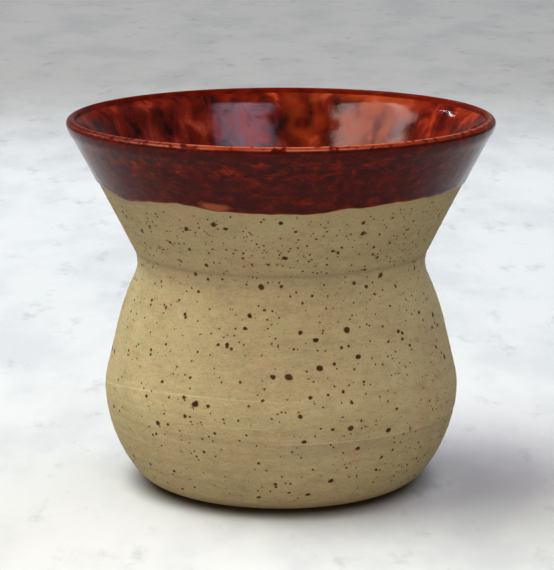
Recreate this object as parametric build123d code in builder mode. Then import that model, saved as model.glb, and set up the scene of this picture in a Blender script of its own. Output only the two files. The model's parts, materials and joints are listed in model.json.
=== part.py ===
from build123d import *
import os
from math import cos, radians, sin, tan

# Stoneware pour-over dripper. A thrown filter cone with a flared collar is luted into
# a bulb-shaped stand, and the joint shows as a soft crease around the waist.
# Millimetres, +Z up. The origin is the centre of the foot, on the surface it stands on.
# Sections are drawn flat, with x as the radius and y as the height, and then revolved.

# ---------------------------------------------------------------- driving dimensions
overall_height = 100.0
rim_radius = 57.8             # widest point of the glazed lip

# Stand outline from the foot up. Each stretch is tangent to the one before it.
foot_radius = 31.9            # outer edge of the standing face
foot_opening_radius = 27.0    # the brew falls through here, clear of the clay
underside_tilt = 10.0         # degrees above level
underside_run = 1.4
heel_radius = 11.1
heel_turn = 41.8              # turns are in degrees
lower_belly_radius = 36.8
lower_belly_turn = 36.3
upper_belly_radius = 19.3
upper_belly_turn = 15.4
shoulder_run = 12.7           # straight stretch above the widest point
neck_radius = 69.5
neck_turn = 11.7
waist_curve_radius = 8.9
waist_turn_below_seam = 45.0
waist_turn_above_seam = 6.3
stand_wall = 4.5

# Filter cone
filter_half_angle = 30.0      # a 60 degree cone takes standard cone papers
lip_radius = 1.6              # half the thickness of the rounded lip, before glaze
rim_wall = 2.8                # clay wall just under the lip
lip_blend_radius = 2.0
hidden_wall = 3.8             # wall of the cone inside the stand
outlet_radius = 9.5
outlet_height = 16.0          # bottom of the outlet neck
outlet_wall = 3.6
edge_softening = 1.1          # sponged edges of the outlet and the foot

# Coil of clay pressed into the joint from inside
coil_radius = 3.5
coil_height = 53.8
coil_off_wall = 1.75          # from the cone's hidden face to the coil's centre

# Ribs that hold the paper off the wall
rib_count = 12
rib_width = 2.4
rib_depth = 1.8
rib_bottom = 27.0
rib_top = 73.0
rib_foot_taper = 3.5
rib_head_taper = 7.0
rib_root = 0.6                # run of the rib into the wall, trimmed off to fit the curve
rib_softening = 0.7

# Glaze
glaze = 0.35                  # thickness of the fired coat
glaze_band_edge = 82.5        # height of the band's lower edge, outside

# ---------------------------------------------------------------- directions and points
half_angle = radians(filter_half_angle)
wall_slope = tan(half_angle)
up_wall = Vector(sin(half_angle), cos(half_angle))
into_wall = Vector(cos(half_angle), -sin(half_angle))

lip_centre = Vector(rim_radius - glaze - lip_radius, overall_height - glaze - lip_radius)
lip_inside = lip_centre - into_wall * lip_radius
collar_top = lip_inside + into_wall * rim_wall
cone_apex = lip_inside.Y - lip_inside.X / wall_slope


def seat_point(height):
    """Point on the clay face that the paper leans on."""
    return Vector((height - cone_apex) * wall_slope, height)


def hidden_face_radius(height):
    """Radius of the cone's outer face, where the stand hides it."""
    return (height - cone_apex) * wall_slope + hidden_wall / cos(half_angle)


def hidden_face_height(radius):
    """Height at which the cone's hidden outer face has a radius."""
    return cone_apex + (radius - hidden_wall / cos(half_angle)) / wall_slope


def stand_outline(inset):
    """Draws the stand's outline from foot to seam, moved inwards by inset, and gives its ends."""
    tilt = radians(underside_tilt)
    outwards = Vector(cos(tilt), sin(tilt))
    inwards = Vector(-sin(tilt), cos(tilt))
    foot = Vector(foot_radius, 0) + inwards * inset
    underside = Line(foot, foot + outwards * underside_run)
    heel = JernArc(underside @ 1, underside % 1, heel_radius - inset, heel_turn)
    lower = JernArc(heel @ 1, heel % 1, lower_belly_radius - inset, lower_belly_turn)
    upper = JernArc(lower @ 1, lower % 1, upper_belly_radius - inset, upper_belly_turn)
    shoulder = Line(upper @ 1, upper @ 1 + (upper % 1) * shoulder_run)
    neck = JernArc(shoulder @ 1, shoulder % 1, neck_radius - inset, neck_turn)
    waist = JernArc(neck @ 1, neck % 1, waist_curve_radius + inset, -waist_turn_below_seam)
    return foot, waist


# ---------------------------------------------------------------- sections
# Cone: up the outside of the collar, over the lip, down the paper's seat to the outlet
# neck, and back up the hidden face to a ledge that sits on the stand's top edge.
with BuildLine():
    _, waist_below_seam = stand_outline(inset=0)
seam = waist_below_seam @ 1
seam_direction = waist_below_seam % 1
neck_top = seat_point(cone_apex + outlet_radius / wall_slope)
neck_radius_outside = outlet_radius + outlet_wall

with BuildSketch() as cone_section:
    with BuildLine():
        waist = JernArc(seam, seam_direction, waist_curve_radius, -waist_turn_above_seam)
        TangentArc(waist @ 1, collar_top, tangent=waist % 1)
        Polyline(
            collar_top,
            lip_inside,
            neck_top,
            (outlet_radius, outlet_height),
            (neck_radius_outside, outlet_height),
            (neck_radius_outside, hidden_face_height(neck_radius_outside)),
            (hidden_face_radius(seam.Y), seam.Y),
            seam,
        )
    make_face()
    fillet(cone_section.vertices().group_by(Axis.Y)[0], edge_softening)
    with Locations(lip_centre):
        Circle(lip_radius)
    lip_corners = cone_section.vertices().filter_by_position(
        Axis.Y, lip_centre.Y - 2 * lip_radius, lip_centre.Y
    )
    fillet(lip_corners.sort_by(Axis.X)[-1], lip_blend_radius)

# Stand: the wall between two parallel outlines, closed by the foot and trimmed to the cone.
with BuildSketch() as stand_section:
    with BuildLine():
        outer_foot, outer_waist = stand_outline(inset=0)
        inner_foot, inner_waist = stand_outline(inset=stand_wall)
        floor_drop = (inner_foot.X - foot_opening_radius) * tan(radians(underside_tilt))
        opening_top = Vector(foot_opening_radius, inner_foot.Y - floor_drop)
        Polyline(inner_foot, opening_top, (foot_opening_radius, 0), outer_foot)
        Line(outer_waist @ 1, inner_waist @ 1)
    make_face()
    add(cone_section.sketch, mode=Mode.SUBTRACT)
    fillet(stand_section.vertices().group_by(Axis.X)[0], edge_softening)

# Coil: a round roll of clay, squeezed into the angle between the two walls.
with BuildSketch() as coil_section:
    with Locations((hidden_face_radius(coil_height) + coil_off_wall, coil_height)):
        Circle(coil_radius)
    add(cone_section.sketch, mode=Mode.SUBTRACT)
    add(stand_section.sketch, mode=Mode.SUBTRACT)

# Glaze: an even coat around the whole cone, of which two stretches are kept. The dipped
# band goes over the lip, and the poured lining runs from there down to the outlet.
beyond_lip = 2 * lip_radius
with BuildSketch() as coat_section:
    add(cone_section.sketch)
    offset(amount=glaze)
    add(cone_section.sketch, mode=Mode.SUBTRACT)

with BuildSketch() as band_section:
    add(coat_section.sketch)
    Polygon(
        seat_point(glaze_band_edge),
        (rim_radius + beyond_lip, glaze_band_edge),
        (rim_radius + beyond_lip, overall_height + beyond_lip),
        lip_inside + (up_wall - into_wall) * beyond_lip,
        lip_inside - into_wall * beyond_lip,
        lip_inside,
        align=None,
        mode=Mode.INTERSECT,
    )

with BuildSketch() as lining_section:
    add(coat_section.sketch)
    Polygon(
        lip_inside,
        lip_inside - into_wall * beyond_lip,
        (0, neck_top.Y),
        (0, outlet_height + edge_softening),
        (outlet_radius, outlet_height + edge_softening),
        neck_top,
        align=None,
        mode=Mode.INTERSECT,
    )

# ---------------------------------------------------------------- clay pieces
with BuildPart() as filter_cone:
    with BuildSketch(Plane.XZ):
        add(cone_section.sketch)
    revolve(axis=Axis.Z)
filter_cone.part.label = "filter_cone"

with BuildPart() as belly_stand:
    with BuildSketch(Plane.XZ):
        add(stand_section.sketch)
    revolve(axis=Axis.Z)
belly_stand.part.label = "belly_stand"

with BuildPart() as waist_coil:
    with BuildSketch(Plane.XZ):
        add(coil_section.sketch)
    revolve(axis=Axis.Z)
waist_coil.part.label = "waist_coil"

# Ribs: fins with tapered ends and a rounded crest, trimmed to the curve of the wall.
rib_foot = seat_point(rib_bottom)
rib_head = seat_point(rib_top)
with BuildPart() as one_rib:
    with BuildSketch(Plane.XZ):
        Polygon(
            rib_foot + into_wall * rib_root,
            rib_head + into_wall * rib_root,
            rib_head,
            rib_head - up_wall * rib_head_taper - into_wall * rib_depth,
            rib_foot + up_wall * rib_foot_taper - into_wall * rib_depth,
            rib_foot,
            align=None,
        )
    extrude(amount=rib_width / 2, both=True)
    long_edges = one_rib.edges().filter_by(lambda edge: edge.length > rib_width * 2)
    crest = long_edges.filter_by(lambda edge: seat_point((edge @ 0.5).Z).X - (edge @ 0.5).X > rib_depth / 4)
    fillet(crest, rib_softening)

with BuildPart() as filter_ribs:
    with PolarLocations(radius=0, count=rib_count):
        add(one_rib.part)
    add(filter_cone.part, mode=Mode.SUBTRACT)
filter_ribs.part.label = "filter_ribs"

# ---------------------------------------------------------------- glaze
with BuildPart() as glaze_rim_band:
    with BuildSketch(Plane.XZ):
        add(band_section.sketch)
    revolve(axis=Axis.Z)
glaze_rim_band.part.label = "glaze_rim_band"

with BuildPart() as glaze_lining:
    with BuildSketch(Plane.XZ):
        add(lining_section.sketch)
    revolve(axis=Axis.Z)
    add(filter_ribs.part, mode=Mode.SUBTRACT)
glaze_lining.part.label = "glaze_lining"

# ---------------------------------------------------------------- output
os.makedirs("parts", exist_ok=True)
export_step(filter_cone.part, "parts/filter_cone.step")
export_step(belly_stand.part, "parts/belly_stand.step")
export_step(waist_coil.part, "parts/waist_coil.step")
export_step(filter_ribs.part, "parts/filter_ribs.step")
export_step(glaze_rim_band.part, "parts/glaze_rim_band.step")
export_step(glaze_lining.part, "parts/glaze_lining.step")
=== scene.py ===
# %% [markdown]
# # A stoneware pour-over dripper
# The dripper is thrown on a wheel in two halves: a cone that holds the paper filter, and a bottomless
# bulb that the cone stands in. The halves are luted together at the waist with a coil of soft clay,
# twelve ribs are stuck inside the cone, and the pot is fired twice: once bare, once with glaze on the lip
# and on the inside. The measured frame is loaded first. Every piece below is drawn in that frame, in
# metres, so it needs no fitting.

import json
from math import asin, atan2, ceil, copysign, cos, degrees, hypot, pi, radians, sin, tan

import bpy
import numpy as np
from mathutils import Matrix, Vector

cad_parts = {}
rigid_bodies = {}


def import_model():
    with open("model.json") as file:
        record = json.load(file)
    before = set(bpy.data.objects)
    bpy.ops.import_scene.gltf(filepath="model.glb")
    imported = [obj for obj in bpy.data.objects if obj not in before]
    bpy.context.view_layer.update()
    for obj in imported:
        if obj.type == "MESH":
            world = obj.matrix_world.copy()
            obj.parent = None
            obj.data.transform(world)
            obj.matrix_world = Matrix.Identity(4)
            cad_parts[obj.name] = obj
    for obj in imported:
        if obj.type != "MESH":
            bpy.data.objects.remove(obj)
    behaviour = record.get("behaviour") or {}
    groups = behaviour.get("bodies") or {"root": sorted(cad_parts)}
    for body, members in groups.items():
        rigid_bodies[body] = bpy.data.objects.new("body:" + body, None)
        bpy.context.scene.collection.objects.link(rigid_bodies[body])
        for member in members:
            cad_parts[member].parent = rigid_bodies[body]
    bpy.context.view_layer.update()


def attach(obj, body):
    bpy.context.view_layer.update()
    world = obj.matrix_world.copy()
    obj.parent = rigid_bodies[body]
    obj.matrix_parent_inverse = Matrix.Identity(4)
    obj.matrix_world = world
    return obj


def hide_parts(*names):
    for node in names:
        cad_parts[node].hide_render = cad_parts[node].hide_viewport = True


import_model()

# %% [markdown]
# ## How a thrown pot can be modelled
# Everything that comes off a wheel is a profile turned about an axis. So each wall is drawn once, as a
# flat closed outline of straight runs and bends, and turned with a Screw modifier, which is quick and
# closes on itself. A sculpted or subdivided cylinder would also do, but its wall thickness would drift.
# The sizes are in millimetres, because potters think in them, and become metres where points are placed.

# %% Sizes of the stand
MM = 0.001
OVERALL_HEIGHT = 100.0
RIM_RADIUS = 57.8

FOOT_RADIUS = 31.9
FOOT_OPENING_RADIUS = 27.0
UNDERSIDE_TILT = 10.0
UNDERSIDE_RUN = 1.4
HEEL = (11.1, 41.8)             # each bend is its radius and its turn in degrees
LOWER_BELLY = (36.8, 36.3)
UPPER_BELLY = (19.3, 15.4)
SHOULDER_RUN = 12.7
NECK = (69.5, 11.7)
WAIST = (8.9, -45.0)
WAIST_ABOVE_SEAM = (8.9, -6.3)
STAND_WALL = 4.5
EDGE_SOFTENING = 1.1
print("stand walls are", STAND_WALL, "mm thick")

# %% Sizes of the cone, lip and glaze
HALF_ANGLE = 30.0
LIP_RADIUS = 1.6
RIM_WALL = 2.8
LIP_BLEND = 2.0
LIP_UNDERCUT_RUN = 1.65
LIP_UNDERCUT_TURN = -27.3
HIDDEN_WALL = 3.8
OUTLET_RADIUS = 9.5
OUTLET_HEIGHT = 16.0
OUTLET_WALL = 3.6
GLAZE = 0.35
GLAZE_EDGE = 82.5

wall_slope = tan(radians(HALF_ANGLE))
up_wall = Vector((sin(radians(HALF_ANGLE)), cos(radians(HALF_ANGLE))))
into_wall = Vector((cos(radians(HALF_ANGLE)), -sin(radians(HALF_ANGLE))))
lip_centre = Vector((RIM_RADIUS - GLAZE - LIP_RADIUS, OVERALL_HEIGHT - GLAZE - LIP_RADIUS))
lip_inside = lip_centre - into_wall * LIP_RADIUS
collar_top = lip_inside + into_wall * RIM_WALL
cone_apex = lip_inside.y - lip_inside.x / wall_slope
print("the cone's faces meet", round(cone_apex, 2), "mm above the table")

# %% Faces of the cone
def seat_point(height):
    """Point of the clay face that the paper leans on."""
    return Vector(((height - cone_apex) * wall_slope, height))


def hidden_radius(height):
    """Radius of the cone's outer face inside the stand."""
    return (height - cone_apex) * wall_slope + HIDDEN_WALL / cos(radians(HALF_ANGLE))


print("the paper's seat is", round(seat_point(60).x, 1), "mm in radius at a height of 60 mm")

# %% [markdown]
# ## A line that throws like a hand
# A thrown wall has no corners: each bend starts in the direction where the last one ended. A small class
# keeps the direction and adds points as it goes. The spacing says how fine the points are, so seen faces
# get fine ones.

# %% Throwing line
FINE = 0.5
COARSE = 1.5


class ThrowingLine:
    """A wall's outline of tangent runs and bends. x is the radius and y the height, in mm."""

    def __init__(self, start, heading, spacing):
        self.points = [Vector(start)]
        self.heading = heading
        self.spacing = spacing

    def run(self, length):
        start = self.points[-1].copy()
        ahead = Vector((cos(radians(self.heading)), sin(radians(self.heading))))
        count = max(1, ceil(length / self.spacing))
        for number in range(1, count + 1):
            self.points.append(start + ahead * length * number / count)
        return self

    def bend(self, radius, turn):
        side = copysign(1, turn)
        start = radians(self.heading)
        centre = self.points[-1] + Vector((-sin(start), cos(start))) * radius * side
        count = max(2, ceil(radius * abs(radians(turn)) / self.spacing))
        for number in range(1, count + 1):
            now = start + radians(turn) * number / count
            self.points.append(centre + Vector((sin(now), -cos(now))) * radius * side)
        self.heading += turn
        return self

    def run_to(self, point):
        chord = Vector(point) - self.points[-1]
        self.heading = degrees(atan2(chord.y, chord.x))
        return self.run(chord.length)

    def bend_towards(self, point, leave_out=0.0):
        """One bend that would end at the point, stopped that many mm before it."""
        chord = Vector(point) - self.points[-1]
        turn = 2 * (degrees(atan2(chord.y, chord.x)) - self.heading)
        radius = chord.length / 2 / abs(sin(radians(turn / 2)))
        share = 1 - leave_out / (radius * abs(radians(turn)))
        return self.bend(radius, turn * share)


foot_start = ThrowingLine((FOOT_RADIUS, 0), UNDERSIDE_TILT, FINE)
print("bends follow on from", foot_start.heading, "degrees at the foot")

# %% Outline of the stand
def stand_side(inset, spacing):
    """The stand's side from foot to seam, moved into the wall by inset."""
    tilt = radians(UNDERSIDE_TILT)
    foot = Vector((FOOT_RADIUS - sin(tilt) * inset, cos(tilt) * inset))
    side = ThrowingLine(foot, UNDERSIDE_TILT, spacing).run(UNDERSIDE_RUN)
    for radius, turn in (HEEL, LOWER_BELLY, UPPER_BELLY):
        side.bend(radius - inset, turn)
    side.run(SHOULDER_RUN)
    side.bend(NECK[0] - inset, NECK[1])
    side.bend(WAIST[0] + inset, WAIST[1])
    return side


stand_outside = stand_side(0, FINE)
seam = stand_outside.points[-1]
print("seam at radius", round(seam.x, 2), "and height", round(seam.y, 2), "mm")

# %% Inside of the stand, trimmed to the cone
def trim_to_cone(points):
    """Keeps the points that are clear of the cone, and adds the one where the wall meets it."""
    kept = []
    for before, after in zip(points, points[1:]):
        kept.append(before)
        gap_before = before.x - hidden_radius(before.y)
        gap_after = after.x - hidden_radius(after.y)
        if gap_after < 0:
            kept.append(before.lerp(after, gap_before / (gap_before - gap_after)))
            break
    return kept


stand_inside = trim_to_cone(stand_side(STAND_WALL, COARSE).points)
floor_top = Vector((FOOT_OPENING_RADIUS, stand_inside[0].y))
floor_top.y -= (stand_inside[0].x - FOOT_OPENING_RADIUS) * tan(radians(UNDERSIDE_TILT))

hole = ThrowingLine(floor_top + Vector((EDGE_SOFTENING, 0.2)), 180 + UNDERSIDE_TILT, 0.3)
hole.bend(EDGE_SOFTENING, 80)
hole.run(hole.points[-1].y - EDGE_SOFTENING)
hole.bend(EDGE_SOFTENING, 90)
hole.run_to((FOOT_RADIUS - 0.3, 0))

ledge_end = Vector((hidden_radius(seam.y), seam.y))
stand_outline = stand_outside.points + [ledge_end] + stand_inside[::-1] + hole.points
print("stand outline has", len(stand_outline), "points")

# %% Outline of the cone
def collar_side(spacing):
    """The seen side from the seam up the collar and over the lip, to where the paper's seat begins."""
    side = ThrowingLine(seam, stand_outside.heading, spacing)
    side.bend(*WAIST_ABOVE_SEAM)
    side.bend_towards(collar_top, leave_out=LIP_UNDERCUT_RUN)
    side.spacing = min(spacing, 0.25)
    side.bend(LIP_BLEND, LIP_UNDERCUT_TURN)
    side.bend(LIP_RADIUS, 180 + 90 - HALF_ANGLE - side.heading)
    return side


collar = collar_side(FINE)
cone = collar_side(FINE)
cone.spacing = COARSE
neck_top = seat_point(cone_apex + OUTLET_RADIUS / wall_slope)
cone.run_to(neck_top)
cone.run_to((OUTLET_RADIUS, OUTLET_HEIGHT + EDGE_SOFTENING))
cone.spacing = 0.3
cone.bend(EDGE_SOFTENING, 90).run(OUTLET_WALL - 2 * EDGE_SOFTENING).bend(EDGE_SOFTENING, 90)
cone.spacing = COARSE
outlet_side = OUTLET_RADIUS + OUTLET_WALL
cone.run_to((outlet_side, cone_apex + (outlet_side - HIDDEN_WALL / cos(radians(HALF_ANGLE))) / wall_slope))
cone.run_to(ledge_end)
print("cone outline has", len(cone.points), "points; lip lands",
      round((collar.points[-1] - lip_inside).length, 3), "mm from the seat")

# %% [markdown]
# ## Drawing and turning
# The outline starts as a small plane whose corners are merged into one point. That point is carried to
# the start of the wall and extruded from place to place, as one would by hand. Then the Screw modifier
# turns it about Z. Normals are made consistent after the doubles are merged, because a turned wall can
# come out inside out.

# %% Draw an outline, turn it
WHEEL_STEPS = 360


def deselect():
    """Leaves edit mode and selects nothing, because operators act on all that is selected."""
    if bpy.context.object and bpy.context.object.mode != "OBJECT":
        bpy.ops.object.mode_set(mode="OBJECT")
    bpy.ops.object.select_all(action="DESELECT")


def edit_all():
    """Opens the active piece in edit mode with all of it selected."""
    bpy.ops.object.mode_set(mode="EDIT")
    bpy.ops.mesh.select_all(action="SELECT")


def leave_edit():
    bpy.ops.object.mode_set(mode="OBJECT")


def select_only(*pieces):
    """Selects the pieces and nothing else. The first one is active."""
    deselect()
    for piece in pieces:
        piece.select_set(True)
    bpy.context.view_layer.objects.active = pieces[0]


def draw_outline(name, points):
    """A closed outline in the XZ plane from points in mm."""
    deselect()
    bpy.ops.mesh.primitive_plane_add(size=MM)
    piece = bpy.context.object
    piece.name = name
    piece.data.name = name
    edit_all()
    bpy.ops.mesh.merge(type="CENTER")
    start = points[0]
    bpy.ops.transform.translate(value=(start.x * MM, 0, start.y * MM))
    for here, there in zip(points, points[1:] + points[:1]):
        stretch = ((there.x - here.x) * MM, 0, (there.y - here.y) * MM)
        bpy.ops.mesh.extrude_region_move(TRANSFORM_OT_translate={"value": stretch})
    bpy.ops.mesh.select_all(action="SELECT")
    bpy.ops.mesh.remove_doubles(threshold=0.002 * MM)
    leave_edit()
    return piece


def turn_on_wheel(piece, steps=WHEEL_STEPS):
    """Turns an outline about Z into a closed solid and points its faces outwards."""
    wheel = piece.modifiers.new("wheel", "SCREW")
    wheel.axis = "Z"
    wheel.angle = 2 * pi
    wheel.steps = steps
    wheel.render_steps = steps
    wheel.use_merge_vertices = True
    wheel.merge_threshold = 0.001 * MM
    bpy.ops.object.modifier_apply(modifier="wheel")
    edit_all()
    bpy.ops.mesh.remove_doubles(threshold=0.001 * MM)
    bpy.ops.mesh.normals_make_consistent(inside=False)
    leave_edit()
    bpy.ops.object.shade_smooth_by_angle(angle=radians(50))
    print(piece.name, "has", len(piece.data.polygons), "faces")
    return piece


thrown_stand = turn_on_wheel(draw_outline("thrown_stand", stand_outline))
thrown_cone = turn_on_wheel(draw_outline("thrown_cone", cone.points))

# %% [markdown]
# ## The coil in the joint
# Inside the stand a roll of clay fills the angle between the two walls. It is only seen from below,
# through the foot's opening. It is a turned circle, and gets its finger dents with the rest of the hand's
# unevenness.

# %% Joint coil
COIL_RADIUS = 3.5
COIL_HEIGHT = 53.8
COIL_OFF_WALL = 1.75
coil_centre = Vector((hidden_radius(COIL_HEIGHT) + COIL_OFF_WALL, COIL_HEIGHT))

coil_line = ThrowingLine(coil_centre - Vector((0, COIL_RADIUS)), 0, 0.8)
coil_line.bend(COIL_RADIUS, 360)
joint_coil = turn_on_wheel(draw_outline("joint_coil", coil_line.points[:-1]), steps=240)

# %% [markdown]
# ## The paper ribs
# Twelve slim ribs keep the wet paper off the wall so that air can leave. One rib is drawn from the side,
# extruded to its width and bevelled along its crest. It is then copied round the cone, each copy with its
# own mesh, and joined.

# %% One rib
RIB_COUNT = 12
RIB_WIDTH = 2.4
RIB_DEPTH = 1.8
RIB_BOTTOM = 27.0
RIB_TOP = 73.0
RIB_FOOT_TAPER = 3.5
RIB_HEAD_TAPER = 7.0
RIB_ROOT = 0.6
RIB_SOFTENING = 0.7

rib_foot = seat_point(RIB_BOTTOM)
rib_head = seat_point(RIB_TOP)
rib_outline = [
    rib_foot + into_wall * RIB_ROOT,
    rib_head + into_wall * RIB_ROOT,
    rib_head,
    rib_head - up_wall * RIB_HEAD_TAPER - into_wall * RIB_DEPTH,
    rib_foot + up_wall * RIB_FOOT_TAPER - into_wall * RIB_DEPTH,
    rib_foot,
]
paper_ribs = draw_outline("paper_ribs", rib_outline)
edit_all()
bpy.ops.transform.translate(value=(0, -RIB_WIDTH / 2 * MM, 0))
bpy.ops.mesh.edge_face_add()
bpy.ops.mesh.extrude_region_move(TRANSFORM_OT_translate={"value": (0, RIB_WIDTH * MM, 0)})
bpy.ops.mesh.select_all(action="SELECT")
bpy.ops.mesh.normals_make_consistent(inside=False)
leave_edit()
print("one rib has", len(paper_ribs.data.polygons), "faces")

# %% Soften the rib and set twelve of them
for edge in paper_ribs.data.edges:
    ends = [paper_ribs.data.vertices[number].co / MM for number in edge.vertices]
    edge.select = all(seat_point(end.z).x - end.x > RIB_DEPTH / 4 for end in ends) or (
        min(seat_point(end.z).x - end.x for end in ends) > -RIB_ROOT / 4 and abs(ends[0].y - ends[1].y) < 0.1
    )
bpy.ops.object.mode_set(mode="EDIT")
bpy.ops.mesh.select_mode(type="EDGE")
bpy.ops.mesh.bevel(offset=RIB_SOFTENING * MM, segments=4)
bpy.ops.mesh.select_mode(type="VERT")
leave_edit()
bpy.ops.object.shade_smooth_by_angle(angle=radians(50))

for number in range(1, RIB_COUNT):
    select_only(paper_ribs)
    bpy.ops.object.duplicate(linked=False)
    bpy.ops.transform.rotate(value=2 * pi * number / RIB_COUNT, orient_axis="Z", center_override=(0, 0, 0))
    bpy.ops.object.transform_apply(location=True, rotation=True, scale=True)

rib_copies = [piece for piece in bpy.context.scene.objects if piece.name.startswith("paper_ribs.")]
select_only(paper_ribs, *rib_copies)
bpy.ops.object.join()
print("ribs joined:", len(paper_ribs.data.polygons), "faces")

# %% [markdown]
# ## Glaze is a coat, so it is grown from the clay
# The coat's outer face is the clay outline pushed out by the glaze's thickness. Glaze is not even: it
# starts from nothing at the dip line, swells to a soft bead where surface tension pulled it back, thins
# over the lip's crest and pools in the undercut below it. A thickness that changes along the outline
# gives all of this as real shape.

# %% Coat helper
def grow_coat(line, thickness):
    """The line pushed out to its right by the thickness at each point, in mm."""
    grown = []
    for number, point in enumerate(line):
        ahead = line[min(number + 1, len(line) - 1)] - line[max(number - 1, 0)]
        outwards = Vector((ahead.y, -ahead.x)).normalized()
        grown.append(point + outwards * thickness[number])
    return grown


def lengths_along(line):
    """Distance of each point from the line's start, in mm."""
    steps = [0.0] + [(after - before).length for before, after in zip(line, line[1:])]
    return np.cumsum(steps)


print("a coat of", GLAZE, "mm goes on the lip and the inside")

# %% Dipped band over the lip
SUNK = 0.03
EDGE_ROUNDING = 0.55
BEAD_HEIGHT = 0.045
BEAD_PLACE = 1.0
BEAD_WIDTH = 0.55
CREST_THINNING = 0.03           # glaze runs off the lip's crest, and pools in the undercut below it
POOL_DEPTH = 0.08
POOL_WIDTH = 1.5
POOL_BELOW_LIP = 0.5
FILLED_WIDTH = 2.6
UNDERCUT_HEADING = 34.0         # degrees, where the undercut passes into the round of the lip
SOFTENED_POINTS = 12

band_clay = [point for point in collar_side(0.25).points if point.y >= GLAZE_EDGE]
finer_edge = [band_clay[0].lerp(band_clay[1], share) for share in (0.12, 0.3, 0.6)]
band_clay = band_clay[:1] + finer_edge + band_clay[1:]
from_edge = lengths_along(band_clay)
rounded = np.sqrt(1 - (1 - np.clip(from_edge / EDGE_ROUNDING, 0, 1)) ** 2)
bead = BEAD_HEIGHT * np.exp(-((from_edge - BEAD_PLACE) / BEAD_WIDTH) ** 2)
to_seat = from_edge[-1] - from_edge
thinned = CREST_THINNING * np.exp(-(to_seat / 1.4) ** 2)
lip_length = LIP_RADIUS * radians(180 + 90 - HALF_ANGLE - UNDERCUT_HEADING)
undercut_place = from_edge[-1] - lip_length - POOL_BELOW_LIP
pooled = POOL_DEPTH * np.exp(-((from_edge - undercut_place) / POOL_WIDTH) ** 2)
band_thickness = rounded * (GLAZE + bead + pooled - thinned) - SUNK * (1 - rounded)
band_face = grow_coat(band_clay, band_thickness)

softly = np.exp(-0.5 * (np.arange(-SOFTENED_POINTS, SOFTENED_POINTS + 1) / 5) ** 2)
softly /= softly.sum()
face_points = np.array([tuple(point) for point in band_face])
padded = np.pad(face_points, ((SOFTENED_POINTS, SOFTENED_POINTS), (0, 0)), mode="edge")
softened = np.stack([np.convolve(padded[:, axis], softly, mode="valid") for axis in (0, 1)], axis=1)
filled = np.exp(-((from_edge - undercut_place) / FILLED_WIDTH) ** 4)[:, None]
band_face = [Vector(point) for point in face_points * (1 - filled) + softened * filled]
band_outline = band_face + band_clay[::-1]
dipped_band = turn_on_wheel(draw_outline("dipped_band", band_outline))

# %% Poured lining
LINING_SPACING = 0.75
lining_line = ThrowingLine(lip_inside, 180 + 90 - HALF_ANGLE, LINING_SPACING)
lining_line.run_to(neck_top)
lining_line.run_to((OUTLET_RADIUS, OUTLET_HEIGHT + EDGE_SOFTENING))
lining_clay = lining_line.points
from_lip = lengths_along(lining_clay)
to_end = from_lip[-1] - from_lip
lining_thickness = GLAZE * np.sqrt(np.clip(to_end / 0.8, 0, 1))
lining_thickness = lining_thickness - CREST_THINNING * np.exp(-(from_lip / 2.2) ** 2)
lining_outline = grow_coat(lining_clay, lining_thickness) + lining_clay[::-1]
poured_lining = turn_on_wheel(draw_outline("poured_lining", lining_outline))

# %% [markdown]
# ## The hand's unevenness
# Nothing thrown is quite round or level. One rule moves the points of every piece alike, so that walls,
# glaze and ribs stay together: the pot is a little oval, its rim dips to the back, and faint throwing
# rings run round it. On the outside of the clay there are also the trimming step above the heel, and the
# crease where the halves meet.

# %% Where the outside wall is
outside_line = stand_outside.points + collar.points[1:]
outside_line = [point for point in outside_line if point.y < lip_centre.y]
outside_heights = np.array([point.y for point in outside_line])
outside_radii = np.array([point.x for point in outside_line])
OVAL = 0.22
OVAL_TURN = 2.6
THREE_SIDED = 0.26
THREE_SIDED_TURN = pi / 2
RIM_DIP = 0.10
RING_DEPTH = 0.022
RING_PITCH = 2.9
print("outside wall runs from", outside_heights.min(), "to", round(outside_heights.max(), 1), "mm")


def ease(value, start, end):
    """0 before start, 1 after end, with a soft passage between."""
    share = np.clip((value - start) / (end - start), 0, 1)
    return share * share * (3 - 2 * share)


# %% Read and write a piece's points
def read_places(piece):
    """The piece's points in mm, as x, y and z."""
    places = np.empty(len(piece.data.vertices) * 3)
    piece.data.vertices.foreach_get("co", places)
    return places.reshape(-1, 3).T / MM


def write_places(piece, x, y, z):
    """Moves the piece's points, in mm."""
    piece.data.vertices.foreach_set("co", (np.stack((x, y, z), axis=1) * MM).ravel())
    piece.data.update()


def write_value(piece, name, values):
    """Stores one value at each point, for the materials to read."""
    attribute = piece.data.attributes.get(name) or piece.data.attributes.new(name, "FLOAT", "POINT")
    attribute.data.foreach_set("value", np.asarray(values, dtype=np.float32))


def degrees_round(x, y):
    """Degrees from the front towards +X."""
    return np.degrees(np.arctan2(x, -y))


print("the stand has", read_places(thrown_stand).shape[1], "points")

# %% Trimming step and crease
STEP_DEPTH = 0.13
CREASE_DEPTH = 0.20
CREASE_WIDTH = 0.42
CHIP_PLACE = (-45.5, 29.2)      # a flake came off the clay here: degrees from the front, and mm up
CHIP_SIZE = (2.2, 0.55)
CHIP_DEPTH = 0.09


def step_height(angle):
    """Height of the trimming step round the pot. The tool was lifted as the wheel turned."""
    return 23.2 - 2.1 * np.cos(angle - 0.58) + 0.5 * np.sin(3 * angle + 1)


def chip_share(angle, height):
    """1 in the middle of the flake's scar and 0 away from it."""
    across = (np.degrees(angle) - CHIP_PLACE[0]) / CHIP_SIZE[0]
    up = (height - CHIP_PLACE[1]) / CHIP_SIZE[1] + 0.4 * across
    return np.exp(-across ** 2 - up ** 2)


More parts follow.
